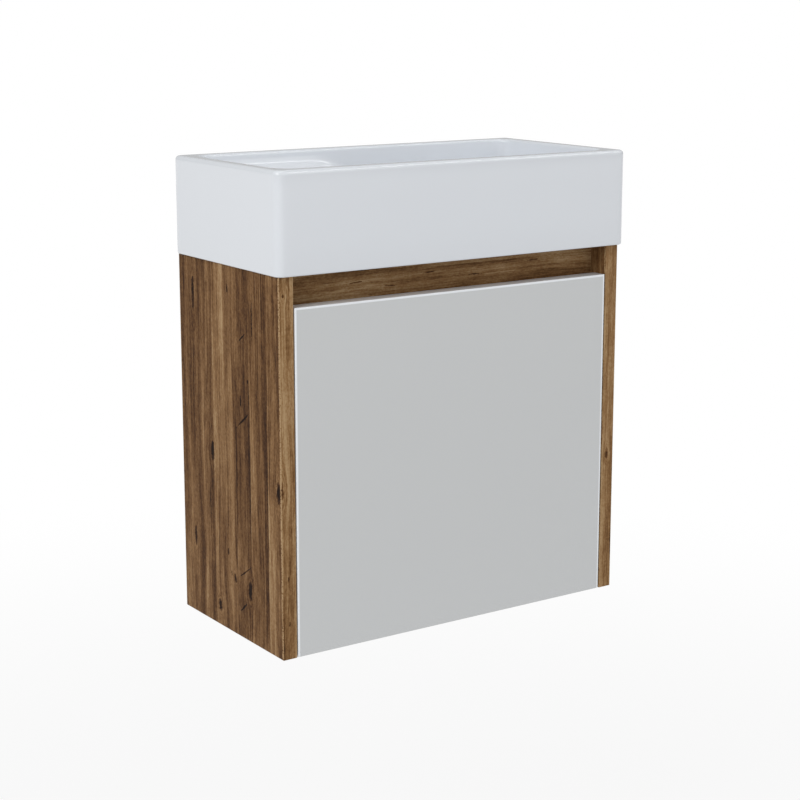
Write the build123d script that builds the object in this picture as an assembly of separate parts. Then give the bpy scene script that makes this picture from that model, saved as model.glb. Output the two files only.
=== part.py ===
from build123d import *
import os
from math import atan2, degrees, hypot, radians, tan

# All lengths are in millimetres. X runs along the front, Y points to the wall and Z up.
# The sizes below place the pieces from the wall plane (Y = 0) and the cabinet's bottom (Z = 0).

# Cabinet boards
cabinet_wide = 440.0
cabinet_deep = 215.0
cabinet_high = 400.0
board = 16.0
edge_band = 1.0
recess_high = 32.0          # finger recess between the door's top edge and the basin
recess_deep = 26.0          # from the front plane to the face of the recess rail
front_rail_high = 65.0
upper_rail_high = 100.0
lower_rail_high = 60.0
wall_recess = 16.0          # free space behind the back rails, for the hanging rail

# Door
door_thick = 18.0
door_gap = 1.6              # reveal between the door and each side panel
door_back_gap = 2.0         # between the door's back and the bottom panel's front edge
door_edge_round = 0.7
bumper_radius = 4.0
bumper_from_side = 24.0
bumper_play = 0.3

# Basin
basin_high = 106.0
basin_side_overhang = 5.0
basin_front_overhang = 6.5
rim_wide = 16.0
skirt_wall = 14.0
bowl_wall = 11.0
corner_round = 9.0
rim_round = 4.5
rim_lip_bevel = 1.5
foot_bevel = 1.2
inner_corner_round = 20.0
bowl_foot_round = 12.0
deck_drop = 19.0            # tap deck below the rim
deck_long = 150.0           # flat part of the tap deck, from the left rim
slope_long = 125.0          # from the deck's end to the bowl's floor
bowl_drop = 84.0            # bowl floor below the rim
tap_hole_radius = 17.5
waste_hole_radius = 23.0
waste_seat_radius = 33.0
waste_seat_deep = 3.0
waste_from_right = 104.0
seal_thick = 0.8
seal_wide = 5.0
seal_inset = 2.5            # from the side panels' outer faces

# Shelf and its pins
shelf_up = 170.0
shelf_from_door = 22.0
shelf_play = 0.6
notch_wide = 120.0
notch_deep = 66.0
notch_round = 24.0
pin_radius = 2.5
pin_in = 8.0
pin_out = 7.0
pin_row_front = 150.0       # rows of pin holes, from the wall
pin_row_back = 60.0

# Concealed hinges: plan positions are (distance from the side panel, depth behind the front)
hinge_from_end = 75.0
door_axis_proud = 2.0       # the door turns about a line this far in front of the gap
cup_from_edge = 22.5
cup_radius = 17.5
cup_deep = 12.0
cup_wall = 1.1
cup_play = 0.1
flange_thick = 1.2
wing_reach = 24.0           # flange screws above and below the cup's centre
wing_set = 6.0
wing_radius = 6.0
cup_pin_in = 28.0
cup_pin_deep = 11.0
nose_pin_in = 24.0
nose_pin_deep = 25.0
hinge_pin_radius = 2.0
hinge_pin_play = 0.08
link_half = 4.0             # half height of the middle leaf of each hinge
link_waist = 2.2
link_eye = 3.5
leaf_play = 0.3
cheek_thick = 2.0
lever_eye = 4.0
lever_web = 1.6
arm_half = 8.0
arm_knee_in = 22.0
arm_knee_deep = 36.0
arm_lift = 9.5
arm_bend_deep = 54.0
arm_end_deep = 90.0
arm_round = 4.5
arm_wall = 1.7
plate_line = 55.0           # screw line of the mounting plate behind the front
plate_thick = 2.5
plate_screw_half = 16.0
plate_hole_radius = 2.4
plate_wing_high = 48.0
plate_wing_deep = 22.0
spine_play = 0.2
foot_corner = 3.8

# Hangers and the wall rail they hook over
hang_drop = 50.0            # from the cabinet's top to the middle of the wall rail
hang_rail_end_play = 4.0    # between the wall rail's ends and the side panels
hang_rail_high = 40.0
hang_rail_thick = 2.0
hang_rail_offset = 8.0      # how far the rail's upper lip stands from the wall
hang_flat = 24.0            # flat foot of the wall rail
hang_bend = 45.0            # degrees
hang_hole_spacing = 300.0
hang_hole_radius = 3.5
hook_thick = 3.0
hook_high = 24.0
hook_play = 0.3
hook_tip = 10.0             # how far the tip reaches down behind the rail's lip
hook_cover = 6.0            # steel above the rail's lip
hook_round = 3.0
wall_play = 1.0             # between the hook and the wall
hanger_wide = 15.0
hanger_long = 46.0
hanger_high = 40.0
hanger_peg_radius = 5.0
hanger_peg_long = 10.0
hanger_corner = 1.5
hook_room_front = 9.0       # from the housing's front to the hook's slot
screw_room = 1.2            # for the screw heads between the housing's front and its cover
cover_wall = 1.2
cover_play = 0.25

near = 0.5                  # how closely an edge is matched when it is picked by its place

# Places that follow from the sizes above
half_wide = cabinet_wide / 2
inner_x = half_wide - board
hang_rail_long = 2 * (inner_x - hang_rail_end_play)
front_y = -cabinet_deep
door_high = cabinet_high - recess_high
door_back_y = front_y + door_thick
bottom_front_y = door_back_y + door_back_gap
rail_face_y = front_y + recess_deep
rail_back_y = rail_face_y + board
back_rail_out_y = -wall_recess
back_rail_in_y = -wall_recess - board
hang_line = cabinet_high - hang_drop
basin_wide = cabinet_wide + 2 * basin_side_overhang
basin_deep = cabinet_deep + basin_front_overhang
basin_foot = cabinet_high + seal_thick
basin_top = basin_foot + basin_high
deck_top = basin_top - deck_drop
bowl_floor = basin_top - bowl_drop
bowl_long = basin_wide - 2 * rim_wide
bowl_broad = basin_deep - 2 * rim_wide
bowl_left = -bowl_long / 2
bowl_right = bowl_long / 2
waste_x = bowl_right - waste_from_right
tap_x = bowl_left + deck_long / 2
basin_mid_y = -basin_deep / 2
hinge_heights = (hinge_from_end, door_high - hinge_from_end)
hook_x = inner_x - hanger_wide / 2
hook_low = hang_line + hang_rail_high / 2 + hook_cover - hook_high
hook_top = hook_low + hook_high
hanger_low = hook_low - (hanger_high - hook_high) / 2
hanger_front_y = back_rail_in_y - hanger_long

nodes = {}


def span(x, y, z):
    """A block between two limits on each axis."""
    size = [high - low for low, high in (x, y, z)]
    middle = [(high + low) / 2 for low, high in (x, y, z)]
    return Pos(*middle) * Box(*size)


def rod(start, way, radius, length):
    """A round bar that starts at a point and runs along a direction."""
    plane = Plane(origin=start, z_dir=way)
    return plane * Cylinder(radius, length, align=(Align.CENTER, Align.CENTER, Align.MIN))


def plan(inward, depth):
    """A hinge place, measured from the right panel's inner face and from the front plane."""
    return (inner_x - inward, front_y + depth)


def bar(start, end, half, low, high):
    """A flat bar with round ends between two plan places."""
    reach = hypot(end[0] - start[0], end[1] - start[1])
    turn = degrees(atan2(end[1] - start[1], end[0] - start[0]))
    place = Pos((start[0] + end[0]) / 2, (start[1] + end[1]) / 2, low) * Rot(0, 0, turn)
    return extrude(place * SlotCenterToCenter(reach, 2 * half), high - low)


def post(place, radius, low, high):
    """An upright round bar at a plan place."""
    return rod((place[0], place[1], low), (0, 0, 1), radius, high - low)


def group(pieces):
    """Separate solids that share one node."""
    return Compound([solid for piece in pieces for solid in piece.solids()])


def make_side_panel(side):
    panel = span(
        sorted((side * inner_x, side * half_wide)), (front_y + edge_band, 0), (0, cabinet_high)
    )
    for row in (-pin_row_front, -pin_row_back):
        start = (side * inner_x, row, shelf_up - pin_radius)
        panel = panel - rod(start, (side, 0, 0), pin_radius, pin_in)
    return panel - hanger_peg(side)


def make_edge_band(side):
    """The thin strip that covers the front edge of a side panel."""
    return span(
        sorted((side * inner_x, side * half_wide)), (front_y, front_y + edge_band), (0, cabinet_high)
    )


def make_bottom_panel():
    return span((-inner_x, inner_x), (bottom_front_y, 0), (0, board))


def make_front_rail():
    foot = cabinet_high - front_rail_high
    return span((-inner_x, inner_x), (rail_face_y, rail_back_y), (foot, cabinet_high))


def make_back_rail_upper():
    """The upper back rail, notched at both ends where the hooks pass through."""
    foot = cabinet_high - upper_rail_high
    rail = span((-inner_x, inner_x), (back_rail_in_y, back_rail_out_y), (foot, cabinet_high))
    for side in (-1, 1):
        notch = span(
            sorted((side * (inner_x - hanger_wide), side * inner_x)),
            (back_rail_in_y, back_rail_out_y),
            (hook_low - hook_play, hook_top + hook_play),
        )
        rail = rail - notch
    return rail


def make_back_rail_lower():
    foot, top = board, board + lower_rail_high
    return span((-inner_x, inner_x), (back_rail_in_y, back_rail_out_y), (foot, top))


def make_shelf():
    """The shelf, cut out at the back where the drain pipe comes down."""
    back_y = back_rail_in_y - 2 * shelf_play
    front = bottom_front_y + shelf_from_door
    reach = inner_x - shelf_play
    shelf = span((-reach, reach), (front, back_y), (shelf_up, shelf_up + board))
    outline = RectangleRounded(notch_wide, 2 * notch_deep, notch_round)
    notch = extrude(Pos(waste_x, back_y, shelf_up) * outline, board)
    return shelf - notch


def make_shelf_pins():
    pins = []
    for side in (-1, 1):
        for row in (-pin_row_front, -pin_row_back):
            start = (side * (inner_x - pin_out), row, shelf_up - pin_radius)
            pins.append(rod(start, (side, 0, 0), pin_radius, pin_out + pin_in))
    return group(pins)


# Basin: one hollow casting with a raised tap deck on the left and the bowl on the right


def basin_outside():
    outline = Pos(0, basin_mid_y, basin_foot) * RectangleRounded(basin_wide, basin_deep, corner_round)
    block = extrude(outline, basin_high)
    block = fillet(block.faces().sort_by(Axis.Z)[-1].edges(), rim_round)
    return chamfer(block.faces().sort_by(Axis.Z)[0].edges(), foot_bevel)


def bowl_profile(grow):
    """The long section of the hollow: deck, S-shaped slope and floor, closed above the rim."""
    drop = deck_top - bowl_floor
    deck_end = bowl_left + deck_long
    slope_end = deck_end + slope_long
    overshoot = 2 * bowl_wall
    middle = (deck_end + slope_long / 2, deck_top - drop / 2 - grow)
    with BuildLine(Plane.XZ) as line:
        Line((bowl_left - overshoot, deck_top - grow), (deck_end, deck_top - grow))
        first = TangentArc((deck_end, deck_top - grow), middle, tangent=(1, 0))
        TangentArc(middle, (slope_end, bowl_floor - grow), tangent=first % 1)
        Polyline(
            (slope_end, bowl_floor - grow),
            (bowl_right + overshoot, bowl_floor - grow),
            (bowl_right + overshoot, basin_top + overshoot),
            (bowl_left - overshoot, basin_top + overshoot),
            (bowl_left - overshoot, deck_top - grow),
        )
    return make_face(line.line)


def bowl_space(grow):
    """The hollow of the bowl and the deck; grow gives its outside, one wall further out."""
    half = basin_deep
    channel = extrude(Pos(0, basin_mid_y, 0) * bowl_profile(grow), half, both=True)
    rim = RectangleRounded(bowl_long + 2 * grow, bowl_broad + 2 * grow, inner_corner_round)
    well = extrude(Pos(0, basin_mid_y, basin_top) * rim, -(bowl_drop + 2 * grow))
    space = channel & well
    foot_edges = space.edges().filter_by(lambda edge: edge.center().Z < deck_top + near)
    foot_edges = foot_edges.filter_by(lambda edge: not on_cross_line(edge))
    if grow == 0:
        space = fillet(foot_edges, bowl_foot_round)
    return space


def on_cross_line(edge):
    """Whether an edge runs across the hollow or straight up its wall, not round its floor."""
    ends = edge.vertices()
    run = [abs(ends[0].X - ends[-1].X), abs(ends[0].Y - ends[-1].Y)]
    upright = abs(ends[0].Z - ends[-1].Z) > max(run)
    inside_across = run[0] < near and abs(edge.center().X) < bowl_right - inner_corner_round
    return inside_across or upright


def make_basin():
    outside = basin_outside()
    under = Pos(0, basin_mid_y, basin_foot) * RectangleRounded(
        basin_wide - 2 * skirt_wall, basin_deep - 2 * skirt_wall, corner_round
    )
    hollow = extrude(under, basin_high - skirt_wall)
    basin = (outside - hollow) + (bowl_space(bowl_wall) & outside)
    basin = basin - bowl_space(0)
    basin = chamfer(basin.edges().filter_by(on_rim_lip), rim_lip_bevel)
    seat_top = (waste_x, basin_mid_y, bowl_floor)
    basin = basin - Pos(waste_x, basin_mid_y, bowl_floor - waste_seat_deep / 2) * Cone(
        waste_hole_radius, waste_seat_radius, waste_seat_deep
    )
    basin = basin - rod(seat_top, (0, 0, -1), waste_hole_radius, bowl_wall * 2)
    return basin - rod((tap_x, basin_mid_y, deck_top), (0, 0, -1), tap_hole_radius, bowl_wall * 2)


def on_rim_lip(edge):
    """Whether an edge belongs to the sharp lip between the rim and the hollow."""
    spot = edge.center()
    inside = abs(spot.X) < bowl_right + near and abs(spot.Y - basin_mid_y) < bowl_broad / 2 + near
    return inside and abs(spot.Z - basin_top) < near


def make_basin_seal():
    """Beads of sealant that bed the basin on the side panels."""
    beads = []
    for side in (-1, 1):
        outer = side * (half_wide - seal_inset)
        inner = side * (half_wide - seal_inset - seal_wide)
        beads.append(span(sorted((inner, outer)), (front_y + board, -board), (cabinet_high, basin_foot)))
    return group(beads)


# Door and its concealed hinges

door_axis = plan(door_gap / 2, -door_axis_proud)
cup_pin = plan(cup_pin_in, cup_pin_deep)
nose_pin = plan(nose_pin_in, nose_pin_deep)
elbow_pin = (nose_pin[0] + cup_pin[0] - door_axis[0], nose_pin[1] + cup_pin[1] - door_axis[1])
cup_x = inner_x - door_gap - cup_from_edge
cheek_low = link_half + leaf_play
cheek_high = cheek_low + cheek_thick


def cup_plane(height):
    """Origin at the cup's centre on the door's back face, Z into the door."""
    return Plane(origin=(cup_x, door_back_y, height), x_dir=(1, 0, 0), z_dir=(0, -1, 0))


def make_door_panel():
    door = span((-inner_x + door_gap, inner_x - door_gap), (front_y, door_back_y), (0, door_high))
    door = fillet(door.faces().sort_by(Axis.Y)[0].edges(), door_edge_round)
    for height in hinge_heights:
        bore = Cylinder(cup_radius, cup_deep + cup_play, align=(Align.CENTER, Align.CENTER, Align.MIN))
        door = door - cup_plane(height) * bore
    return door


def make_hinge_cup(height):
    """A pressed cup with its flange, and two ears with the link's pin riveted between them."""
    outside = cup_radius - cup_play
    upward = (Align.CENTER, Align.CENTER, Align.MIN)
    cup = Cylinder(outside, cup_deep, align=upward)
    edges = Circle(outside + cup_wall).edges()
    for side in (-1, 1):
        edges = edges + (Pos(-wing_set, side * wing_reach) * Circle(wing_radius)).edges()
    cup = cup + extrude(Pos(0, 0, -flange_thick) * make_hull(edges), flange_thick)
    room = Cylinder(outside - cup_wall, cup_deep + flange_thick - cup_wall, align=upward)
    cup = cup_plane(height) * (cup - Pos(0, 0, -flange_thick) * room)
    ear_foot = (cup_pin[0], door_back_y - cup_deep + cup_wall / 2 + link_eye)
    for side in (-1, 1):
        low, high = sorted((height + side * cheek_low, height + side * cheek_high))
        cup = cup + bar(cup_pin, ear_foot, link_eye, low, high)
    return cup + post(cup_pin, hinge_pin_radius, height - cheek_high, height + cheek_high)


def make_hinge_link(height):
    """The inner leaf that joins the cup's pin to the lever's elbow pin."""
    low, high = height - link_half, height + link_half
    link = bar(cup_pin, elbow_pin, link_waist, low, high)
    link = link + post(cup_pin, link_eye, low, high) + post(elbow_pin, link_eye, low, high)
    for place in (cup_pin, elbow_pin):
        link = link - post(place, hinge_pin_radius + hinge_pin_play, low, high)
    return link


def make_hinge_lever(height):
    """Two cheeks joined by the elbow pin, and by a web on the side away from the link."""
    lever = post(elbow_pin, hinge_pin_radius, height - cheek_high, height + cheek_high)
    for side in (-1, 1):
        low, high = sorted((height + side * cheek_low, height + side * cheek_high))
        cheek = bar(nose_pin, elbow_pin, lever_eye, low, high)
        lever = lever + (cheek - post(nose_pin, hinge_pin_radius + hinge_pin_play, low, high))
    run = (elbow_pin[0] - nose_pin[0], elbow_pin[1] - nose_pin[1])
    reach = hypot(*run)
    along = (run[0] / reach, run[1] / reach)
    outward = (along[1], -along[0])
    middle = [nose_pin[axis] + along[axis] * reach / 2 for axis in range(2)]
    place = [middle[axis] + outward[axis] * (lever_eye - lever_web / 2) for axis in range(2)]
    web = Box(reach - 4 * lever_eye, lever_web, 2 * cheek_high)
    return lever + Pos(place[0], place[1], height) * Rot(0, 0, degrees(atan2(along[1], along[0]))) * web


def make_hinge_arm(height):
    """The cranked arm: a narrow nose with its pin, a bend and a channel over the plate."""
    knee = plan(arm_knee_in, arm_knee_deep)
    bend = plan(arm_lift, arm_bend_deep)
    tail = plan(arm_lift, arm_end_deep)
    arm = bar(nose_pin, knee, lever_eye, height - link_half, height + link_half)
    arm = arm + bar(knee, bend, lever_eye, height - arm_half, height + arm_half)
    arm = arm + bar(bend, tail, arm_round, height - arm_half, height + arm_half)
    web_in = arm_lift + arm_round - arm_wall
    channel = span(
        (inner_x - web_in, inner_x),
        (bend[1] + arm_wall, tail[1] + 2 * arm_round),
        (height - arm_half + arm_wall, height + arm_half - arm_wall),
    )
    arm = arm - channel
    return arm + post(nose_pin, hinge_pin_radius, height - cheek_high, height + cheek_high)


def make_hinge_plate(height):
    """The mounting plate: a winged foot on the panel and a spine inside the arm's channel."""
    face = Plane(origin=(inner_x, front_y + plate_line, height), x_dir=(0, 1, 0), z_dir=(-1, 0, 0))
    foot = extrude(face * RectangleRounded(plate_wing_deep, plate_wing_high, foot_corner), plate_thick)
    spine_in = arm_lift + arm_round - arm_wall - spine_play
    spine = span(
        (inner_x - spine_in, inner_x),
        (front_y + arm_bend_deep + arm_wall + spine_play, front_y + arm_end_deep + spine_play),
        (height - arm_half + arm_wall + spine_play, height + arm_half - arm_wall - spine_play),
    )
    plate = foot + spine
    for side in (-1, 1):
        start = (inner_x - plate_thick, front_y + plate_line, height + side * plate_screw_half)
        plate = plate - rod(start, (1, 0, 0), plate_hole_radius, plate_thick)
    return plate


def hinge_pair(make_piece):
    """The same leaf of the lower and the upper hinge, in one node."""
    return group([make_piece(height) for height in hinge_heights])


def make_door_bumpers():
    """Soft pads on the bottom panel's front edge, just clear of the closed door."""
    thick = door_back_gap - bumper_play
    pads = []
    for side in (-1, 1):
        start = (side * (inner_x - bumper_from_side), bottom_front_y, board / 2)
        pads.append(rod(start, (0, -1, 0), bumper_radius, thick))
    return group(pads)


# Hangers: a housing on each side panel, a steel hook and the rail on the wall


def hanger_peg(side):
    """The housing's round peg, pressed into the side panel."""
    start = (side * inner_x, hanger_front_y + hanger_long / 2, hanger_low + hanger_high / 2)
    return rod(start, (side, 0, 0), hanger_peg_radius, hanger_peg_long)


def make_hanger_housing(side):
    body = span(
        sorted((side * (inner_x - hanger_wide), side * inner_x)),
        (hanger_front_y, back_rail_in_y),
        (hanger_low, hanger_low + hanger_high),
    )
    body = fillet(body.faces().sort_by(Axis.Y)[0].edges(), hanger_corner)
    slot = span(
        (side * hook_x - hook_thick / 2 - hook_play, side * hook_x + hook_thick / 2 + hook_play),
        (hanger_front_y + hook_room_front, back_rail_in_y),
        (hook_low - hook_play, hook_top + hook_play),
    )
    return body - slot + hanger_peg(side)


def make_hanger_hook(side):
    """A flat hook whose notch drops over the lip of the wall rail."""
    lip_back = -hang_rail_offset + hang_rail_thick + hook_play
    lip_front = -hang_rail_offset - hook_play
    lip_top = hang_line + hang_rail_high / 2
    back = -wall_play
    start = hanger_front_y + hook_room_front
    outline = Polyline(
        (start, hook_low),
        (lip_front, hook_low),
        (lip_front, lip_top),
        (lip_back, lip_top),
        (lip_back, lip_top - hook_tip),
        (back, lip_top - hook_tip),
        (back, hook_top),
        (start, hook_top),
        close=True,
    )
    plane = Plane(origin=(side * hook_x - hook_thick / 2, 0, 0), x_dir=(0, 1, 0), z_dir=(1, 0, 0))
    hook = extrude(plane * make_face(outline), hook_thick)
    upper = hook.edges().filter_by(Axis.X).filter_by(lambda edge: edge.center().Z > hook_top - near)
    return fillet(upper, hook_round)


def make_hanger_cover(side):
    """A thin cap that clips over the housing and its screws."""
    outer_in = inner_x - hanger_wide - cover_play - cover_wall
    front = hanger_front_y - screw_room - cover_play
    low = hanger_low - cover_play
    high = hanger_low + hanger_high + cover_play
    shell = span(
        sorted((side * outer_in, side * inner_x)),
        (front - cover_wall, back_rail_in_y - hook_room_front),
        (low - cover_wall, high + cover_wall),
    )
    shell = fillet(shell.faces().sort_by(Axis.Y)[0].edges(), hanger_corner)
    room = span(
        sorted((side * (outer_in + cover_wall), side * inner_x)),
        (front, back_rail_in_y - hook_room_front),
        (low, high),
    )
    return shell - room


def make_hanging_rail():
    """A bent steel strip: flat on the wall below, its lip standing off the wall above."""
    half = hang_rail_high / 2
    foot = hang_line - half
    flat_top = foot + hang_flat
    lip_low = flat_top + hang_rail_offset - hang_rail_thick
    bend_shift = hang_rail_thick * tan(radians(hang_bend / 2))
    outline = Polyline(
        (0, foot),
        (-hang_rail_thick, foot),
        (-hang_rail_thick, flat_top - bend_shift),
        (-hang_rail_offset, lip_low - bend_shift),
        (-hang_rail_offset, foot + hang_rail_high),
        (-hang_rail_offset + hang_rail_thick, foot + hang_rail_high),
        (-hang_rail_offset + hang_rail_thick, lip_low),
        (0, flat_top),
        close=True,
    )
    plane = Plane(origin=(-hang_rail_long / 2, 0, 0), x_dir=(0, 1, 0), z_dir=(1, 0, 0))
    rail = extrude(plane * make_face(outline), hang_rail_long)
    for side in (-1, 1):
        start = (side * hang_hole_spacing / 2, -hang_rail_thick, foot + hang_flat / 2)
        rail = rail - rod(start, (0, 1, 0), hang_hole_radius, hang_rail_thick)
    return rail


nodes["side_panel_left"] = make_side_panel(-1)
nodes["side_panel_right"] = make_side_panel(1)
nodes["edge_band_left"] = make_edge_band(-1)
nodes["edge_band_right"] = make_edge_band(1)
nodes["bottom_panel"] = make_bottom_panel()
nodes["front_rail"] = make_front_rail()
nodes["back_rail_upper"] = make_back_rail_upper()
nodes["back_rail_lower"] = make_back_rail_lower()
nodes["shelf"] = make_shelf()
nodes["shelf_pins"] = make_shelf_pins()
nodes["basin"] = make_basin()
nodes["basin_seal"] = make_basin_seal()
nodes["door_panel"] = make_door_panel()
nodes["door_bumpers"] = make_door_bumpers()
nodes["hinge_cup_pair"] = hinge_pair(make_hinge_cup)
nodes["hinge_link_pair"] = hinge_pair(make_hinge_link)
nodes["hinge_lever_pair"] = hinge_pair(make_hinge_lever)
nodes["hinge_arm_pair"] = hinge_pair(make_hinge_arm)
nodes["hinge_plate_pair"] = hinge_pair(make_hinge_plate)
for name, side in {"left": -1, "right": 1}.items():
    nodes["hanger_housing_" + name] = make_hanger_housing(side)
    nodes["hanger_hook_" + name] = make_hanger_hook(side)
    nodes["hanger_cover_" + name] = make_hanger_cover(side)
nodes["hanging_rail"] = make_hanging_rail()

# The row's origin is the middle of the wall rail, on the wall
os.makedirs("parts", exist_ok=True)
for name, piece in nodes.items():
    export_step(Pos(0, 0, -hang_line) * piece, f"parts/{name}.step")
print("door axis", door_axis, "cup pin", cup_pin, "nose pin", nose_pin, "elbow pin", elbow_pin)
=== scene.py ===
import math

import bmesh
import bpy
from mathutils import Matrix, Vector


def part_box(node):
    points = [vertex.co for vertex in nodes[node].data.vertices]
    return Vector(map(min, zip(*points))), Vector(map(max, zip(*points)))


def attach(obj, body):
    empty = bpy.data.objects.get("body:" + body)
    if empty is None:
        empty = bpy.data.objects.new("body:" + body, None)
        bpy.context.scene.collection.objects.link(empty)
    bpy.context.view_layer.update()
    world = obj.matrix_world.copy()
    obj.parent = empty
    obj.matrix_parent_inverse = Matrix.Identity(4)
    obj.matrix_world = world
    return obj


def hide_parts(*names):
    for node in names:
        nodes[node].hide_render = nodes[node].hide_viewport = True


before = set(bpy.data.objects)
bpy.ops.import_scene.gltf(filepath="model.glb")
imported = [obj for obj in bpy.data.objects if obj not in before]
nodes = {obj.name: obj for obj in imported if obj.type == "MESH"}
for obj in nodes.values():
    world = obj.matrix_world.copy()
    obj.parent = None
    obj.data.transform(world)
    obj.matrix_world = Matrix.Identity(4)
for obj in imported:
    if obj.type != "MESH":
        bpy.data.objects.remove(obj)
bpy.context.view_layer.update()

print("frame loaded:", len(nodes), "nodes")


# shader helpers
class Wire:
    # an output socket; Python's operators on it add the maths nodes
    def __init__(self, finish, socket):
        self.finish = finish
        self.socket = socket

    def out(self, name):
        return Wire(self.finish, self.socket.node.outputs[name])

    def maths(self, operation, first, second=None):
        pair = [part for part in (first, second) if part is not None]
        kinds = [part.socket.type for part in pair if isinstance(part, Wire)]
        if "RGBA" in kinds:
            return self.finish.mix(1.0, first, second, operation)
        if "VECTOR" in kinds:
            spread = [(part,) * 3 if isinstance(part, (int, float)) else part for part in pair]
            inputs = dict(enumerate(spread))
            return self.finish.node("ShaderNodeVectorMath", {"operation": operation}, inputs)
        return self.finish.node("ShaderNodeMath", {"operation": operation}, dict(enumerate(pair)))

    def __add__(self, other):
        return self.maths("ADD", self, other)

    def __radd__(self, other):
        return self.maths("ADD", other, self)

    def __sub__(self, other):
        return self.maths("SUBTRACT", self, other)

    def __rsub__(self, other):
        return self.maths("SUBTRACT", other, self)

    def __mul__(self, other):
        return self.maths("MULTIPLY", self, other)

    def __rmul__(self, other):
        return self.maths("MULTIPLY", other, self)

    def __truediv__(self, other):
        return self.maths("DIVIDE", self, other)

    def __rtruediv__(self, other):
        return self.maths("DIVIDE", other, self)

    def __pow__(self, other):
        return self.maths("POWER", self, other)

    def __rpow__(self, other):
        return self.maths("POWER", other, self)

    def __gt__(self, other):
        return self.maths("GREATER_THAN", self, other)

    def __neg__(self):
        return self.maths("MULTIPLY", self, -1.0)

    def __abs__(self):
        return self.maths("ABSOLUTE", self)

    def atLeast(self, other):
        return self.maths("MAXIMUM", self, other)

    def atMost(self, other):
        return self.maths("MINIMUM", self, other)


class Finish:
    # the node tree of a material or of the world, under construction
    def __init__(self, host):
        self.host = host
        self.host.use_nodes = True
        self.tree = self.host.node_tree
        self.tree.nodes.clear()

    def node(self, kind, settings=None, inputs=None, output=0):
        made = self.tree.nodes.new(kind)
        for key, value in (settings or {}).items():
            if key == "stops":
                ramp = made.color_ramp
                for index, (place, shade) in enumerate(value):
                    stop = ramp.elements[index] if index < 2 else ramp.elements.new(place)
                    stop.position = place
                    stop.color = (*shade, 1.0) if isinstance(shade, tuple) else (shade, shade, shade, 1.0)
            elif key == "between":
                made.color_ramp.interpolation = value
            else:
                setattr(made, key, value)
        for key, value in (inputs or {}).items():
            self.feed(made.inputs[key], value)
        return Wire(self, made.outputs[output]) if made.outputs else None

    def feed(self, socket, value):
        if isinstance(value, Wire):
            self.tree.links.new(value.socket, socket)
        elif socket.type == "RGBA" and len(value) == 3:
            socket.default_value = (*value, 1.0)
        else:
            socket.default_value = value

    def place(self):
        return self.node("ShaderNodeTexCoord", output="Object")

    def axes(self):
        split = self.node("ShaderNodeSeparateXYZ", inputs={0: self.place()})
        return split, split.out("Y"), split.out("Z")

    def point(self, x, y, z):
        return self.node("ShaderNodeCombineXYZ", inputs={0: x, 1: y, 2: z})

    def noise(self, vector, scale, detail, roughness=0.5, twist=0.0):
        return self.node("ShaderNodeTexNoise", inputs={
            "Vector": vector, "Scale": scale, "Detail": detail, "Roughness": roughness, "Distortion": twist,
        })

    def cells(self, vector, scale):
        # distance from the middle of the nearest cell
        inputs = {"Vector": vector, "Scale": scale}
        return self.node("ShaderNodeTexVoronoi", inputs=inputs, output="Distance")

    def chips(self, vector, scale):
        # one random value for each cell
        inputs = {"Vector": vector, "Scale": scale}
        tint = self.node("ShaderNodeTexVoronoi", inputs=inputs, output="Color")
        return self.node("ShaderNodeSeparateColor", inputs={0: tint})

    def ramp(self, value, stops, between="LINEAR"):
        return self.node("ShaderNodeValToRGB", {"stops": stops, "between": between}, {"Fac": value})

    def level(self, value, stops, between="LINEAR"):
        # a ramp read as one number
        return self.node("ShaderNodeSeparateColor", inputs={0: self.ramp(value, stops, between)})

    def fade(self, value, low, high, atLow=0.0, atHigh=1.0):
        return self.node(
            "ShaderNodeMapRange",
            {"interpolation_type": "SMOOTHSTEP"},
            {"Value": value, "From Min": low, "From Max": high, "To Min": atLow, "To Max": atHigh},
        )

    def mix(self, share, first, second, blend="MIX"):
        return self.node(
            "ShaderNodeMix",
            {"data_type": "RGBA", "blend_type": blend},
            {"Factor": share, 6: first, 7: second},
            output=2,
        )

    def bump(self, height, distance, strength):
        inputs = {"Height": height, "Distance": distance, "Strength": strength}
        return self.node("ShaderNodeBump", inputs=inputs)

    def close(self, **sockets):
        values = {key.replace("_", " "): value for key, value in sockets.items()}
        shader = self.node("ShaderNodeBsdfPrincipled", inputs=values)
        self.node("ShaderNodeOutputMaterial", inputs={"Surface": shader})
        return self.host


def newFinish(name):
    return Finish(bpy.data.materials.new(name))


def dimmed(shade, share):
    return tuple(part * share for part in shade)


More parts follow.
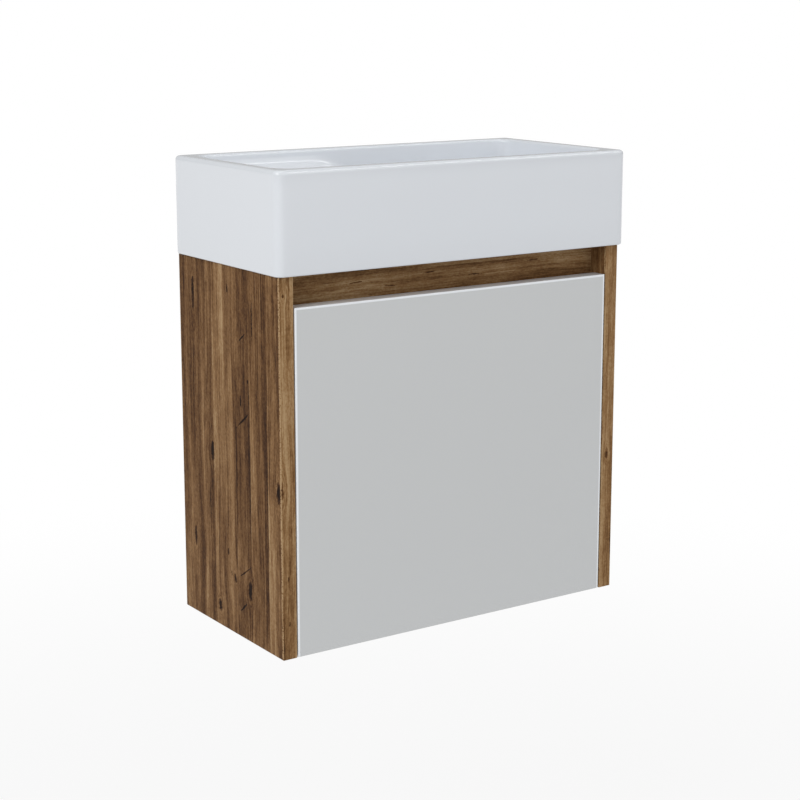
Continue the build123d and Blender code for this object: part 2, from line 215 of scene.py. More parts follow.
# oak decor
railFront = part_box("front_rail")[0][1]   # y of the front rail's face
oak = {
    "panelDeep": 0.215,
    # planks across a side panel: where each begins, from the wall (m), and its tone
    "plankEdges": [0.0, 0.033, 0.055, 0.071, 0.120, 0.151, 0.177, 0.187, 0.204],
    "plankTones": [0.42, 0.52, 0.41, 0.60, 0.43, 0.55, 0.36, 0.63, 0.52],
    # planks of one width on the other pieces
    "otherPlanks": {"perMetre": 24.0, "start": 4.0, "lowest": 0.45, "spread": 0.17},
    # knots of a side panel: depth from the wall, height, half width, length over width,
    # and lean to the front in degrees
    "knots": [
        (0.069, -0.156, 0.0036, 2.8, 0.0),
        (0.2085, -0.172, 0.0036, 3.4, -3.0),
        (0.147, -0.294, 0.0036, 2.6, 3.0),
        (0.080, -0.328, 0.0032, 1.9, -10.0),
        (0.026, -0.262, 0.0026, 4.0, 0.0),
        (0.115, -0.288, 0.0019, 2.8, -16.0),
        (0.030, 0.010, 0.0030, 5.5, 0.0),
    ],
    # narrow cracks and scratches of a side panel, written the same way
    "cracks": [
        (0.107, 0.026, 0.0013, 4.0, 0.0),
        (0.137, -0.022, 0.0010, 11.0, 55.0),
        (0.132, -0.090, 0.0014, 4.0, 0.0),
        (0.148, -0.067, 0.0014, 1.7, 0.0),
        (0.149, -0.085, 0.0008, 18.0, 0.0),
        (0.137, -0.110, 0.0012, 13.0, 54.0),
        (0.100, -0.262, 0.0014, 3.0, 0.0),
        (0.107, -0.284, 0.0012, 3.0, 0.0),
        (0.136, -0.276, 0.0010, 15.0, 57.0),
        (0.131, -0.317, 0.0013, 8.0, 50.0),
        (0.158, 0.000, 0.0012, 16.0, 0.0),
        (0.062, -0.215, 0.0010, 18.0, 0.0),
    ],
    "rightKnots": 5,                # the right panel has this many of the knots, turned upside down,
    "rightCracks": 2,               # and this many of the cracks
    "turnHeight": -0.30,            # a height and its turned one add up to this
    # marks of the other pieces: place across and along the grain, then as above
    "railCracks": [
        (0.033, -0.112, 0.0008, 11.0, 3.0),
        (0.026, -0.070, 0.0006, 13.0, -5.0),
        (0.036, -0.020, 0.0006, 15.0, 4.0),
        (0.029, 0.040, 0.0007, 12.0, -3.0),
        (0.038, 0.120, 0.0006, 16.0, 2.0),
    ],
    "boardKnots": [(-0.165, 0.060, 0.0045, 2.6, 0.0), (-0.060, -0.120, 0.0036, 2.8, 0.0)],
    "leftBandKnots": [(-0.2160, 0.031, 0.0013, 1.5, 0.0), (-0.2206, -0.170, 0.0026, 3.6, 0.0)],
    "leftBandCracks": [(-0.2120, -0.312, 0.0009, 3.6, 0.0), (-0.2130, -0.263, 0.0008, 4.0, 0.0)],
    "rightBandKnots": [(0.2110, -0.190, 0.0020, 2.8, 0.0)],
    # how dark a knot is from its middle outwards, to knotReach half widths; knotRest means no change
    "knotRings": [
        (0.00, 1.00), (0.10, 0.92), (0.16, 0.66), (0.20, 0.74), (0.24, 0.26), (0.30, 0.18),
        (0.35, 0.44), (0.41, 0.26), (0.47, 0.38), (0.56, 0.28), (0.80, 0.30), (1.00, 0.30),
    ],
    "knotReach": 5.0,
    "knotRest": 0.30,
    "knotDark": 0.76,
    "knotBend": 1.9,                # half widths to which the grain bends fully round a knot, before it fades
    "crackEdge": (0.7, 1.1),
    "crackDark": 0.46,
    "crackDeep": 0.6,
    # how much the rub and grit layers roughen the outline of a mark
    "knotRough": (1.3, 0.9),
    "crackRough": (1.2, 1.8),
    # layers of noise: repeats per metre across and along the grain, detail, roughness, twist
    # and a shift of the seed
    "layers": {
        "drift": (9.0, 2.6, 2.0, 0.50, 0.0, 0.0),
        "rub": (130.0, 60.0, 4.0, 0.65, 0.0, 0.0),
        "grit": (520.0, 260.0, 3.0, 0.70, 0.0, 0.0),
        "streaks": (110.0, 2.2, 3.0, 0.60, 0.0, 0.0),
        "fine": (520.0, 8.0, 3.0, 0.65, 0.0, 0.0),
        "fibres": (1700.0, 60.0, 2.0, 0.60, 0.0, 0.0),
        "flow": (42.0, 5.0, 3.0, 0.60, 0.5, 3.0),
        "pores": (800.0, 24.0, 2.0, 0.50, 0.0, 5.0),
        "splits": (190.0, 5.0, 3.0, 0.60, 0.4, 9.0),
        "glue": (400.0, 420.0, 2.0, 0.50, 0.0, 0.0),
    },
    "wander": 0.016,                # how far the drift layer moves the grain sideways (m)
    "plankApart": 37.0,             # how far apart in the noise two planks lie, per unit of tone
    # shares of the layers in the tone and in the height of the surface
    "toneShares": {"streaks": 0.85, "fine": 0.80, "fibres": 0.55, "flow": 1.00, "rub": 0.40, "grit": 0.60},
    "heightShares": {"streaks": 0.30, "fine": 0.30, "fibres": 0.15, "grit": 0.15},
    # pores and splits: where they begin and end in their noise, how dark and how deep they are
    "poreEdge": (0.12, 0.22),
    "poreDark": 0.18,
    "poreDeep": 0.5,
    "splitEdge": (0.16, 0.22),
    "splitDark": 0.36,
    "splitDeep": 0.6,
    # pale dots of glue along the joint of a side panel and its edge band: where the dots begin and end
    # in their noise, where they lie, and how much they lift the tone
    "glueEdge": (-0.14, 0.0),
    "glueFromWall": (0.2118, 0.2126),
    "glueFromMiddle": 0.2197,
    "glueSideLift": 0.52,
    "glueFrontLift": 0.42,
    "shades": [
        (0.00, (0.014, 0.006, 0.003)),
        (0.20, (0.058, 0.025, 0.011)),
        (0.40, (0.128, 0.060, 0.022)),
        (0.55, (0.200, 0.102, 0.040)),
        (0.75, (0.306, 0.173, 0.075)),
        (1.00, (0.470, 0.312, 0.165)),
    ],
    # the raw chipboard of the edge that faces the wall
    "rawWithin": 0.0004,
    "rawChips": 420.0,
    "rawShades": [(0.0, (0.25, 0.15, 0.08)), (0.5, (0.47, 0.33, 0.19)), (1.0, (0.66, 0.52, 0.34))],
    "rawRough": 0.35,
    "roughTones": (0.1, 0.9),       # between these tones, roughness goes from the first to the second value
    "roughness": (0.60, 0.42),
    "relief": 0.00035,
    "reliefStrength": 0.55,
    "specular": 0.06,
}


def markReach(across, along, mark):
    # how far a point is from a mark's long axis, and from its middle in half widths
    depth, height, half, stretch, lean = mark
    turn = math.radians(lean)
    aside = across - depth
    upward = along - height
    sideways = aside * math.cos(turn) - upward * math.sin(turn)
    lengthways = (aside * math.sin(turn) + upward * math.cos(turn)) / stretch
    return sideways, (sideways * sideways + lengthways * lengthways) ** 0.5 / half


def oakLayer(finish, name, across, along, seed):
    # one layer of noise, from about -0.5 to 0.5
    perAcross, perAlong, detail, roughness, twist, shift = oak["layers"][name]
    spot = finish.point(across * perAcross, along * perAlong, seed + shift)
    return finish.noise(spot, 1.0, detail, roughness, twist) - 0.5


def oakTone(finish, across, along, planks, knots, cracks, seed):
    # the tone, from 0 to 1, and the height of the grain
    layers = {name: oakLayer(finish, name, across, along, seed) for name in ("drift", "rub", "grit")}
    grain = across + layers["drift"] * oak["wander"]
    knotReaches = []
    for knot in knots:
        sideways, reach = markReach(across, along, knot)
        half = knot[2]
        bend = (half * oak["knotBend"]) ** 2
        grain = grain - sideways * bend / (reach * reach * half ** 2).atLeast(bend)
        rubRough, gritRough = oak["knotRough"]
        knotReaches.append(reach + layers["rub"] * rubRough + layers["grit"] * gritRough)
    own = planks * oak["plankApart"] + seed
    for name in ("streaks", "fine", "fibres", "flow"):
        layers[name] = oakLayer(finish, name, grain, along, own)
    pores = finish.fade(oakLayer(finish, "pores", grain, along, own), *oak["poreEdge"])
    splits = finish.fade(oakLayer(finish, "splits", grain, along, own), *oak["splitEdge"])
    tone = planks - pores * oak["poreDark"] - splits * oak["splitDark"]
    for name, share in oak["toneShares"].items():
        tone = tone + layers[name] * share
    height = -pores * oak["poreDeep"] - splits * oak["splitDeep"]
    for name, share in oak["heightShares"].items():
        height = height + layers[name] * share
    for reach in knotReaches:
        ring = finish.level(reach / oak["knotReach"], oak["knotRings"])
        tone = tone + (oak["knotRest"] - ring) * oak["knotDark"]
    marks = None
    for crack in cracks:
        sideways, reach = markReach(across, along, crack)
        rubRough, gritRough = oak["crackRough"]
        reach = reach + layers["rub"] * rubRough + layers["grit"] * gritRough
        dark = finish.fade(reach, *oak["crackEdge"], 1.0, 0.0)
        marks = dark if marks is None else marks.atLeast(dark)
    if marks is not None:
        tone = tone - marks * oak["crackDark"]
        height = height - marks * oak["crackDeep"]
    return tone, height


def oakFinish(name, way, knots, cracks, seed, lift=0.0):
    # way says which axes run across and along the grain
    finish = newFinish(name)
    x, y, z = finish.axes()
    across, along = {
        "side": (-y, z),
        "front": (x, z),
        "rail": (z - y + railFront, x),
        "board": (z - y, x),
    }[way]
    if way == "side":
        stops = [(edge / oak["panelDeep"], tone) for edge, tone in zip(oak["plankEdges"], oak["plankTones"])]
        planks = finish.level(across / oak["panelDeep"], stops, "CONSTANT")
    else:
        other = oak["otherPlanks"]
        place = (across + other["start"] + seed) * other["perMetre"]
        number = finish.node("ShaderNodeMath", {"operation": "FLOOR"}, {0: place})
        chance = finish.node("ShaderNodeTexWhiteNoise", {"noise_dimensions": "1D"}, {"W": number})
        planks = chance * other["spread"] + other["lowest"]
    tone, height = oakTone(finish, across, along, planks, knots, cracks, seed)
    if way in ("side", "front"):
        dots = finish.fade(oakLayer(finish, "glue", across, along, seed), *oak["glueEdge"])
    if way == "side":
        tone = tone + finish.fade(across, *oak["glueFromWall"]) * dots * oak["glueSideLift"]
    if way == "front":
        tone = tone + (abs(x) > oak["glueFromMiddle"]) * dots * oak["glueFrontLift"]
    shade = finish.ramp(tone + lift, oak["shades"])
    rough = finish.fade(tone, *oak["roughTones"], *oak["roughness"])
    if way == "side":
        raw = y > -oak["rawWithin"]
        board = finish.ramp(finish.chips(finish.place(), oak["rawChips"]), oak["rawShades"])
        shade = finish.mix(raw, shade, board)
        rough = rough + raw * oak["rawRough"]
    relief = finish.bump(height, oak["relief"], oak["reliefStrength"])
    return finish.close(Base_Color=shade, Roughness=rough, Normal=relief, Specular_IOR_Level=oak["specular"])


# the left panel's tone is lowered a little (lift -0.02): painted shade, for the shade that falls on that side
oakLeft = oakFinish("oakLeft", "side", oak["knots"], oak["cracks"], seed=3.0, lift=-0.02)
turnedKnots = [
    (oak["panelDeep"] - depth, oak["turnHeight"] - height, *shape)
    for depth, height, *shape in oak["knots"][:oak["rightKnots"]]
]
oakRight = oakFinish("oakRight", "side", turnedKnots, oak["cracks"][:oak["rightCracks"]], seed=11.0)
oakRail = oakFinish("oakRail", "rail", [], oak["railCracks"], seed=5.0, lift=0.23)
oakBoard = oakFinish("oakBoard", "board", oak["boardKnots"], [], seed=7.0)
oakBandLeft = oakFinish(
    "oakBandLeft", "front", oak["leftBandKnots"], oak["leftBandCracks"], seed=13.0, lift=0.13
)
oakBandRight = oakFinish("oakBandRight", "front", oak["rightBandKnots"], [], seed=17.0, lift=0.16)
print("oak decor ready")


# glaze
glaze = {
    "shade": (0.790, 0.820, 0.862),
    "cloudDim": 0.985,              # clouds in the shade go down to this share of it
    "cloudScale": 7.0,
    "cloudRange": (0.3, 0.7),
    "roughness": (0.07, 0.10),
    # pinholes, which stand in patches
    "speck": (0.60, 0.61, 0.62),
    "speckScale": 900.0,
    "speckSize": 0.10,
    "speckStrength": 0.10,
    "patchScale": 60.0,
    "patchFrom": 0.66,
    "rippleScale": 26.0,
    "relief": 0.0006,
    "reliefStrength": 0.25,
    "coat": 0.35,
    "coatRoughness": 0.03,
}


def glazeFinish():
    finish = newFinish("whiteGlaze")
    spot = finish.place()
    cloud = finish.noise(spot, glaze["cloudScale"], 2.0)
    ripple = finish.noise(spot, glaze["rippleScale"], 2.0, 0.4)
    pinholes = finish.fade(finish.cells(spot, glaze["speckScale"]), 0.0, glaze["speckSize"], 1.0, 0.0)
    pinholes = pinholes * (finish.noise(spot, glaze["patchScale"], 1.0) > glaze["patchFrom"])
    shade = finish.mix(cloud, dimmed(glaze["shade"], glaze["cloudDim"]), glaze["shade"])
    shade = finish.mix(pinholes * glaze["speckStrength"], shade, glaze["speck"])
    rough = finish.fade(cloud, *glaze["cloudRange"], *glaze["roughness"])
    relief = finish.bump(ripple, glaze["relief"], glaze["reliefStrength"])
    return finish.close(
        Base_Color=shade,
        Roughness=rough,
        Normal=relief,
        Coat_Weight=glaze["coat"],
        Coat_Roughness=glaze["coatRoughness"],
    )


# lacquered door
lacquer = {
    "shade": (0.635, 0.650, 0.656),
    "cloudDim": 0.985,
    "cloudScale": 5.0,
    "cloudRange": (0.3, 0.7),
    "roughness": (0.12, 0.16),
    "edgeHighlightShade": (0.92, 0.95, 0.98),
    "edgeHighlightReach": (0.0016, 0.0027),   # the painted highlight, a pale line along the door's top and side edges, ends between these (m)
    "peelScale": 420.0,
    "dustScale": 240.0,
    "dustSize": 0.05,
    "dustHigh": 0.3,
    "relief": 0.00002,
    "reliefStrength": 0.35,
    "coat": 0.6,
    "coatRoughness": 0.05,
}


def lacquerFinish():
    finish = newFinish("glossLacquer")
    lowest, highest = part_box("door_panel")
    spot = finish.place()
    x, _, z = finish.axes()
    cloud = finish.noise(spot, lacquer["cloudScale"], 2.0)
    peel = finish.noise(spot, lacquer["peelScale"], 2.0, 0.5)
    dust = finish.fade(finish.cells(spot, lacquer["dustScale"]), 0.0, lacquer["dustSize"], 1.0, 0.0)
    fromEdge = (x - lowest[0]).atMost(highest[0] - x).atMost(highest[2] - z)
    # painted highlight: a pale line along the door's top and side edges, where their rounding would catch the
    # light; the bottom edge has none
    paintedEdgeHighlight = finish.fade(fromEdge, *lacquer["edgeHighlightReach"], 1.0, 0.0)
    shade = finish.mix(cloud, dimmed(lacquer["shade"], lacquer["cloudDim"]), lacquer["shade"])
    shade = finish.mix(paintedEdgeHighlight, shade, lacquer["edgeHighlightShade"])
    rough = finish.fade(cloud, *lacquer["cloudRange"], *lacquer["roughness"])
    relief = finish.bump(peel + dust * lacquer["dustHigh"], lacquer["relief"], lacquer["reliefStrength"])
    return finish.close(
        Base_Color=shade,
        Roughness=rough,
        Normal=relief,
        Coat_Weight=lacquer["coat"],
        Coat_Roughness=lacquer["coatRoughness"],
    )


# metals and plastics
metal = {
    "drawnMarks": (40.0, 4000.0, 4000.0),   # repeats per metre of the marks of rolling, along x and across it
    "spangles": 700.0,
    "hazeScale": 90.0,
    "dim": 0.86,
    "shadeShares": (0.35, 0.30),            # of the marks and of the haze
    "roughShares": (0.10, 0.16),
    "relief": 0.00004,
    "reliefStrength": 0.2,
}
plastic = {
    "skinScale": 1400.0,
    "cloudScale": 30.0,
    "dim": 0.94,
    "roughShare": 0.12,
    "reliefStrength": 0.3,
}


def metalFinish(name, base, roughness, drawn=False):
    finish = newFinish(name)
    spot = finish.place()
    if drawn:
        marks = finish.noise(spot * metal["drawnMarks"], 1.0, 2.0)
    else:
        marks = finish.chips(spot, metal["spangles"])
    haze = finish.noise(spot, metal["hazeScale"], 3.0)
    marksShade, hazeShade = metal["shadeShares"]
    shade = finish.mix(marks * marksShade + haze * hazeShade, dimmed(base, metal["dim"]), base)
    marksRough, hazeRough = metal["roughShares"]
    rough = roughness + marks * marksRough + (haze - 0.5) * hazeRough
    relief = finish.bump(marks + haze, metal["relief"], metal["reliefStrength"])
    return finish.close(Base_Color=shade, Metallic=1.0, Roughness=rough, Normal=relief)


def plasticFinish(name, base, roughness, grain, clear=0.0):
    finish = newFinish(name)
    spot = finish.place()
    skin = finish.noise(spot, plastic["skinScale"], 2.0)
    cloud = finish.noise(spot, plastic["cloudScale"], 2.0)
    shade = finish.mix(cloud, dimmed(base, plastic["dim"]), base)
    rough = roughness + (skin - 0.5) * plastic["roughShare"]
    relief = finish.bump(skin, grain, plastic["reliefStrength"])
    return finish.close(Base_Color=shade, Roughness=rough, Normal=relief, Transmission_Weight=clear)


whiteGlaze = glazeFinish()
nickel = metalFinish("nickelPlate", (0.70, 0.69, 0.66), 0.20)
zinc = metalFinish("zincPlate", (0.56, 0.57, 0.60), 0.28)
rolledZinc = metalFinish("rolledZinc", (0.46, 0.47, 0.49), 0.30, drawn=True)
# the finish of each node, by the start of its name; the shelf's also dresses the shelf's pins,
# and the basin's also dresses the basin's seal
dress = {
    "side_panel_left": oakLeft,
    "side_panel_right": oakRight,
    "edge_band_left": oakBandLeft,
    "edge_band_right": oakBandRight,
    "bottom_panel": oakBoard,
    "shelf": oakBoard,
    "front_rail": oakRail,
    "back_rail": oakRail,
    "basin": whiteGlaze,
    "door_panel": lacquerFinish(),
    "door_bumpers": plasticFinish("bumperClear", (0.80, 0.80, 0.78), 0.25, 0.00001, clear=0.6),
    "hanging_rail": rolledZinc,
    "hinge": nickel,
    "hanger_hook": rolledZinc,
    "hanger_cover": plasticFinish("coverPlastic", (0.76, 0.76, 0.74), 0.38, 0.00002),
    "hanger_housing": plasticFinish("housingPlastic", (0.70, 0.70, 0.67), 0.45, 0.00003),
}
for name, piece in nodes.items():
    chosen = dress[next(start for start in dress if name.startswith(start))]
    piece.data.materials.clear()
    piece.data.materials.append(chosen)
print("finishes ready, nodes dressed")


# mesh helpers
weldWithin = 1e-6   # points nearer than this are one (m)


def addPiece(name, mesh, finish, body):
    mesh.materials.clear()
    mesh.materials.append(finish)
    piece = bpy.data.objects.new(name, mesh)
    bpy.context.collection.objects.link(piece)
    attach(piece, body)
    return piece


def quarter(steps):
    # sine and cosine along a quarter turn
    turns = [math.pi / 2 * step / steps for step in range(steps + 1)]
    return [(math.sin(turn), math.cos(turn)) for turn in turns]


def addSkin(shape, rings):
    # one skin over closed rings that have the same number of points
    loops = [[shape.verts.new(spot) for spot in ring] for ring in rings]
    for first, second in zip(loops, loops[1:]):
        for index in range(len(first)):
            following = (index + 1) % len(first)
            shape.faces.new((first[index], first[following], second[following], second[index]))


def closeMesh(name, shape):
    bmesh.ops.remove_doubles(shape, verts=shape.verts, dist=weldWithin)
    bmesh.ops.dissolve_degenerate(shape, edges=shape.edges, dist=weldWithin)
    bmesh.ops.recalc_face_normals(shape, faces=shape.faces)
    mesh = bpy.data.meshes.new(name)
    shape.to_mesh(mesh)
    shape.free()
    return mesh


def loftRings(name, rings):
    shape = bmesh.new()
    addSkin(shape, rings)
    return closeMesh(name, shape)


def turnedRings(middle, profile, steps):
    # rings of a turned shape; profile lists radius and height
    turns = [2 * math.pi * step / steps for step in range(steps)]
    return [
        [(middle[0] + radius * math.cos(turn), middle[1] + radius * math.sin(turn), height) for turn in turns]
        for radius, height in profile
    ]


# basin
basin = {
    "rimWide": 0.016,
    "skirtWall": 0.014,
    "bowlWall": 0.011,
    "cornerRound": 0.009,
    "innerCorner": 0.020,
    "rimRound": 0.0045,
    "lipRound": 0.0032,
    "footRound": 0.0020,
    "skirtFillet": 0.0040,
    "bowlFillet": 0.0120,
    "deckDrop": 0.019,
    "deckLong": 0.150,
    "slopeLong": 0.125,
    "bowlDrop": 0.084,
    "tapHole": 0.0175,
    "wasteHole": 0.023,
    "wasteSeat": 0.033,
    "seatDeep": 0.003,
    "wasteFromRight": 0.104,
    "edgeSoft": 0.0012,
    "cutAbove": 0.010,              # the cutters reach this far above the surface that they cut,
    "cutBelow": 0.030,              # and this far below it
    # steps of the mesh
    "cornerSteps": 8,
    "longSteps": 56,
    "shortSteps": 16,
    "floorRings": 7,
    "softSteps": 4,
    "lipSteps": 6,
    "roundSteps": 8,
    "holeSteps": 72,
    # rows of the mesh, as shares of the height of the skirt's inside, its outside and the bowl's wall
    "insideRows": (0.25, 0.5, 0.75),
    "outsideRows": (0.33, 0.67),
    "bowlRows": (0.2, 0.4, 0.6, 0.8),
    "sharpAngle": 32,
}
basinLow, basinHigh = (Vector(corner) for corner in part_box("basin"))
basinMiddle = (basinLow + basinHigh) / 2
halfLong = (basinHigh.x - basinLow.x) / 2
halfShort = (basinHigh.y - basinLow.y) / 2
bowlLeft = basinLow.x + basin["rimWide"]
bowlRight = basinHigh.x - basin["rimWide"]
deckTop = basinHigh.z - basin["deckDrop"]
bowlFloor = basinHigh.z - basin["bowlDrop"]


def floorHeight(x):
    # the deck, then an S of two equal arcs, then the bowl's floor
    start = bowlLeft + basin["deckLong"]
    end = start + basin["slopeLong"]
    run, drop = basin["slopeLong"] / 2, (deckTop - bowlFloor) / 2
    radius = (run * run + drop * drop) / (2 * drop)
    if x <= start:
        return deckTop
    if x >= end:
        return bowlFloor
    if x - start < run:
        return deckTop - radius + math.sqrt(radius * radius - (x - start) ** 2)
    return bowlFloor + radius - math.sqrt(radius * radius - (end - x) ** 2)


def underHeight(x):
    return floorHeight(x) - basin["bowlWall"]


def basinRing(inset, radius, heightAt):
    # a rounded rectangle, one inset inside the basin's outline
    long, short = halfLong - inset, halfShort - inset
    radius = min(max(radius, 0.0), short)
    corners = [(1, 1, 0), (-1, 1, 90), (-1, -1, 180), (1, -1, 270)]

    def cornerPoint(index, degrees):
        signX, signY, start = corners[index % len(corners)]
        turn = math.radians(start + degrees)
        return (
            signX * (long - radius) + radius * math.cos(turn),
            signY * (short - radius) + radius * math.sin(turn),
        )

    flat = []
    for index in range(len(corners)):
        for step in range(basin["cornerSteps"] + 1):
            flat.append(cornerPoint(index, 90 * step / basin["cornerSteps"]))
        here, goal = flat[-1], cornerPoint(index + 1, 0)
        steps = basin["shortSteps"] if index % 2 else basin["longSteps"]
        for step in range(1, steps):
            share = step / steps
            flat.append(tuple(here[axis] + (goal[axis] - here[axis]) * share for axis in range(2)))
    return [(basinMiddle.x + x, basinMiddle.y + y, heightAt(basinMiddle.x + x)) for x, y in flat]


def basinRings():
    foot, top = basinLow.z, basinHigh.z
    wall, rim = basin["skirtWall"], basin["rimWide"]
    outer, inner = basin["cornerRound"], basin["innerCorner"]
    soft, lip, fillet = basin["footRound"], basin["lipRound"], basin["skirtFillet"]
    turnUp, rimRound = basin["bowlFillet"], basin["rimRound"]
    rings = []

    def add(inset, radius, height):
        heightAt = height if callable(height) else (lambda x: height)
        rings.append(basinRing(inset, radius, heightAt))

    # under the deck and the bowl, from the middle outwards, then down the inside of the skirt
    for step in range(basin["floorRings"]):
        inset = halfShort + (wall + fillet - halfShort) * step / basin["floorRings"]
        add(inset, outer - (inset - wall), underHeight)
    for sine, cosine in quarter(basin["softSteps"]):
        inset = wall + fillet * (1 - sine)
        add(inset, outer - fillet * (1 - sine), lambda x: underHeight(x) - fillet * (1 - cosine))
    for share in basin["insideRows"]:
        add(wall, outer, lambda x: (underHeight(x) - fillet) * (1 - share) + (foot + soft) * share)
    for sine, cosine in quarter(basin["softSteps"]):
        add(wall - soft * (1 - cosine), outer + soft * (1 - cosine), foot + soft * (1 - sine))
    # up the outside to the rim
    for sine, cosine in quarter(basin["softSteps"]):
        add(soft * (1 - sine), outer - soft * (1 - sine), foot + soft * (1 - cosine))
    for share in basin["outsideRows"]:
        add(0.0, outer, foot + (top - foot) * share)
    for sine, cosine in quarter(basin["roundSteps"]):
        edge = rimRound * (1 - cosine)
        add(edge, outer - edge, top - rimRound * (1 - sine))
    # over the lip, down the bowl's wall and over its floor
    for sine, cosine in quarter(basin["lipSteps"]):
        edge = lip * (1 - sine)
        add(rim - edge, inner + edge, top - lip * (1 - cosine))
    for share in basin["bowlRows"]:
        add(rim, inner, lambda x: (top - lip) * (1 - share) + (floorHeight(x) + turnUp) * share)
    for sine, cosine in quarter(basin["roundSteps"]):
        edge = turnUp * (1 - cosine)
        add(rim + edge, inner - edge, lambda x: floorHeight(x) + turnUp * (1 - sine))
    for step in range(1, basin["floorRings"] + 1):
        inset = rim + turnUp + (halfShort - rim - turnUp) * step / basin["floorRings"]
        add(inset, inner - (inset - rim), floorHeight)
    return rings


def holeCutter(name, middle, topRadius, seatDeep, radius, surface):
    # a turned shape with a soft upper edge and, where seatDeep isn't 0, a conical seat
    soft = basin["edgeSoft"]
    above, below = surface + basin["cutAbove"], surface - basin["cutBelow"]
    profile = [(0.0, above), (topRadius + soft, above)]
    for sine, cosine in quarter(basin["softSteps"]):
        profile.append((topRadius + soft * (1 - sine), surface - soft * (1 - cosine)))
    if seatDeep:
        profile += [(radius + soft, surface - seatDeep), (radius, surface - seatDeep - soft)]
    profile += [(radius, below), (0.0, below)]
    cutter = bpy.data.objects.new(name, loftRings(name, turnedRings(middle, profile, basin["holeSteps"])))
    bpy.context.collection.objects.link(cutter)
    return cutter


def makeBasin():
    blank = bpy.data.objects.new("basinBlank", loftRings("basinBlank", basinRings()))
    bpy.context.collection.objects.link(blank)
    tap = (bowlLeft + basin["deckLong"] / 2, basinMiddle.y)
    waste = (bowlRight - basin["wasteFromRight"], basinMiddle.y)
    tapHole, wasteHole = basin["tapHole"], basin["wasteHole"]
    cutters = [
        holeCutter("tapCutter", tap, tapHole, 0.0, tapHole, deckTop),
        holeCutter("wasteCutter", waste, basin["wasteSeat"], basin["seatDeep"], wasteHole, bowlFloor),
    ]
    for cutter in cutters:
        hole = blank.modifiers.new(cutter.name, "BOOLEAN")
        hole.operation = "DIFFERENCE"
        hole.solver = "EXACT"
        hole.object = cutter
    bpy.context.view_layer.update()
    mesh = bpy.data.meshes.new_from_object(blank.evaluated_get(bpy.context.evaluated_depsgraph_get()))
    for helper in [blank, *cutters]:
        bpy.data.objects.remove(helper)
    mesh.name = "basinCasting"
    for face in mesh.polygons:
        face.use_smooth = True
        face.material_index = 0
    mesh.set_sharp_from_angle(angle=math.radians(basin["sharpAngle"]))
    piece = addPiece("basinCasting", mesh, whiteGlaze, "cabinet")
    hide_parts("basin")
    return piece


casting = makeBasin()
print("basin made:", len(casting.data.vertices), "points")


# small screws of the hinges
screws = {
    "headRadius": 0.0036,
    "headHigh": 0.0016,
    "sideHigh": 0.35,               # share of the head's height where its side begins
    "crown": 0.0004,
    "recessDeep": 0.0011,
    "armTurns": (-15.0, -8.0, 8.0, 15.0),   # points about each quarter turn, in degrees
    "armInside": (1, 2),                    # which of these are in an arm of the cross recess
    # rings from the middle: share of the radius, drop in crowns, and how much of the ring is in the recess
    "rings": [
        (0.00, 0.00, "all"),
        (0.16, 0.00, "arms"),
        (0.48, 0.10, "arms"),
        (0.56, 0.15, "none"),
        (0.80, 0.50, "none"),
        (0.95, 1.60, "none"),
    ],
    "firstTurn": 12.0,              # each screw stands at another angle, in degrees
    "nextTurn": 37.0,
    "hingeHeights": (-0.275, -0.057),
    "plateX": 0.2015, "plateY": -0.160, "plateHalf": 0.016,
    "armX": 0.190, "armYs": (-0.134, -0.143),
    "cupX": 0.1739, "cupY": -0.1958, "cupHalf": 0.024,
}


def screwPoints(spin):
    # rings of one head as radius, turn and height over its seat
    high, radius = screws["headHigh"], screws["headRadius"]
    edges = screws["armTurns"]
    turns = [90 * quarterTurn + edge + spin for quarterTurn in range(4) for edge in edges]
    rings = []
    for share, drop, recess in screws["rings"]:
        ring = []
        for index, turn in enumerate(turns):
            inArm = index % len(edges) in screws["armInside"]
            deep = screws["recessDeep"] if recess == "all" or (recess == "arms" and inArm) else 0.0
            ring.append((radius * share, turn, high - screws["crown"] * drop - deep))
        rings.append(ring)
    for reach, height in ((radius, high * screws["sideHigh"]), (radius, 0.0), (0.0, 0.0)):
        rings.append([(reach, turn, height) for turn in turns])
    return rings


def makeScrews(name, places, way, body):
    # way is the direction that the heads look in
    up = Vector(way)
    side = up.orthogonal().normalized()
    other = up.cross(side)

    def around(place, radius, turn, height):
        angle = math.radians(turn)
        spot = Vector(place) + side * (radius * math.cos(angle)) + other * (radius * math.sin(angle))
        return spot + up * height

    shape = bmesh.new()
    for number, place in enumerate(places):
        spin = screws["nextTurn"] * number + screws["firstTurn"]
        addSkin(shape, [[around(place, *point) for point in ring] for ring in screwPoints(spin)])
    return addPiece(name, closeMesh(name, shape), zinc, body)


heights = screws["hingeHeights"]
plateSpots = [
    (screws["plateX"], screws["plateY"], z + end * screws["plateHalf"]) for z in heights for end in (-1, 1)
]
armSpots = [(screws["armX"], y, z) for z in heights for y in screws["armYs"]]
cupSpots = [
    (screws["cupX"], screws["cupY"], z + end * screws["cupHalf"]) for z in heights for end in (-1, 1)
]
makeScrews("plateScrews", plateSpots, (-1, 0, 0), "cabinet")
makeScrews("armScrews", armSpots, (-1, 0, 0), "cabinet")
makeScrews("cupScrews", cupSpots, (0, 1, 0), "door")
print("screws made")


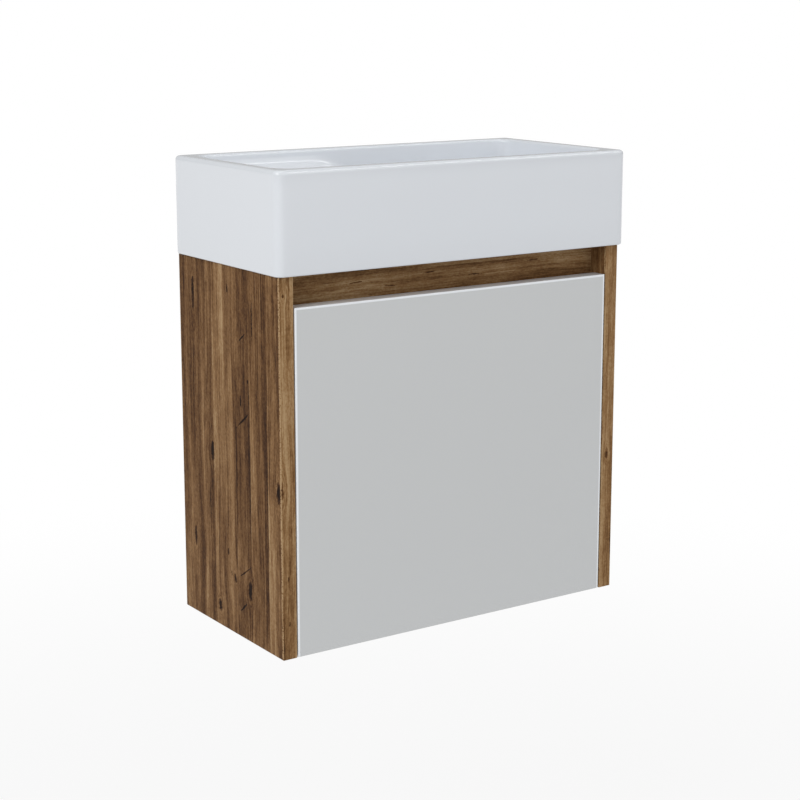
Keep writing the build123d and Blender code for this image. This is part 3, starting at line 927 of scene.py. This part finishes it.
# floor, light and camera
studio = {
    "floorDrop": 0.85,
    "floorHalf": 30.0,
    "floorShade": 0.90,
    "floorGlow": 0.84,              # share of plain white near the object; the rest shows its shadow
    "floorFade": (0.4, 2.2),
    "world": 0.46,
    # place, aim, width, height and power of each lamp
    "lamps": {
        "keyLeft": ((-2.4, -1.1, 1.3), (-0.05, -0.1, -0.05), 1.5, 1.5, 30.0),
        "fillFront": ((0.9, -3.0, 1.1), (0.0, -0.1, -0.1), 1.8, 1.8, 8.0),
        "top": ((0.1, -0.5, 2.4), (0.0, -0.1, 0.1), 1.4, 1.4, 8.0),
        # lights the rim from the right
        "rimStrip": ((1.35, -1.15, 1.75), (0.0, -0.2, 0.15), 1.6, 0.25, 6.0),
    },
    "eye": (-1.1161, -1.7542, 0.3235),
    "yaw": 34.074,
    "pitch": -11.083,
    "focalPixels": 1811.9,
    "imagePixels": 800,
    "sensorWide": 36.0,
    "shiftY": -0.06,
    "farthest": 100.0,
}


def makeFloor():
    # white to the camera and in reflections, with the object's shadow kept in it
    finish = newFinish("paleFloor")
    matt = finish.node("ShaderNodeBsdfDiffuse", inputs={"Color": (studio["floorShade"],) * 3})
    white = finish.node("ShaderNodeEmission", inputs={"Color": (1.0, 1.0, 1.0), "Strength": 1.0})
    rays = finish.node("ShaderNodeLightPath", output="Is Camera Ray")
    seen = rays.atLeast(rays.out("Is Glossy Ray")).atLeast(rays.out("Is Transmission Ray"))
    x, y, _ = finish.axes()
    away = (x * x + y * y) ** 0.5
    share = seen * finish.fade(away, *studio["floorFade"], studio["floorGlow"], 1.0)
    both = finish.node("ShaderNodeMixShader", inputs={0: share, 1: matt, 2: white})
    finish.node("ShaderNodeOutputMaterial", inputs={"Surface": both})
    half, low = studio["floorHalf"], -studio["floorDrop"]
    corners = [(-half, -half, low), (half, -half, low), (half, half, low), (-half, half, low)]
    mesh = bpy.data.meshes.new("floor")
    mesh.from_pydata(corners, [], [(0, 1, 2, 3)])
    mesh.materials.append(finish.host)
    floor = bpy.data.objects.new("floor", mesh)
    bpy.context.collection.objects.link(floor)


def makeWorld():
    # plain white behind the object, and a dimmer light on it
    bpy.context.scene.world = bpy.data.worlds.new("studioWorld")
    sky = Finish(bpy.context.scene.world)
    rays = sky.node("ShaderNodeLightPath", output="Is Camera Ray")
    seen = rays.atLeast(rays.out("Is Transmission Ray"))
    strength = studio["world"] + seen * (1.0 - studio["world"])
    backdrop = sky.node("ShaderNodeBackground", inputs={"Color": (1.0, 1.0, 1.0), "Strength": strength})
    sky.node("ShaderNodeOutputWorld", inputs={"Surface": backdrop})


def aim(name, content, place, gaze):
    holder = bpy.data.objects.new(name, content)
    bpy.context.collection.objects.link(holder)
    holder.location = place
    holder.rotation_mode = "QUATERNION"
    holder.rotation_quaternion = gaze.to_track_quat("-Z", "Y")
    return holder


def makeLamps():
    for name, (place, target, wide, high, power) in studio["lamps"].items():
        lamp = bpy.data.lights.new(name, "AREA")
        lamp.shape = "RECTANGLE"
        lamp.size = wide
        lamp.size_y = high
        lamp.energy = power
        aim(name, lamp, place, Vector(target) - Vector(place))


def makeCamera():
    eye = bpy.data.cameras.new("eye")
    eye.sensor_width = studio["sensorWide"]
    eye.lens = studio["focalPixels"] / studio["imagePixels"] * eye.sensor_width
    eye.shift_y = studio["shiftY"]
    eye.clip_end = studio["farthest"]
    yaw, pitch = math.radians(studio["yaw"]), math.radians(studio["pitch"])
    gaze = Vector((math.sin(yaw) * math.cos(pitch), math.cos(yaw) * math.cos(pitch), math.sin(pitch)))
    bpy.context.scene.camera = aim("eye", eye, studio["eye"], gaze)
    bpy.context.scene.view_settings.view_transform = "Standard"


makeFloor()
makeWorld()
makeLamps()
makeCamera()
print("floor, lamps and camera ready")
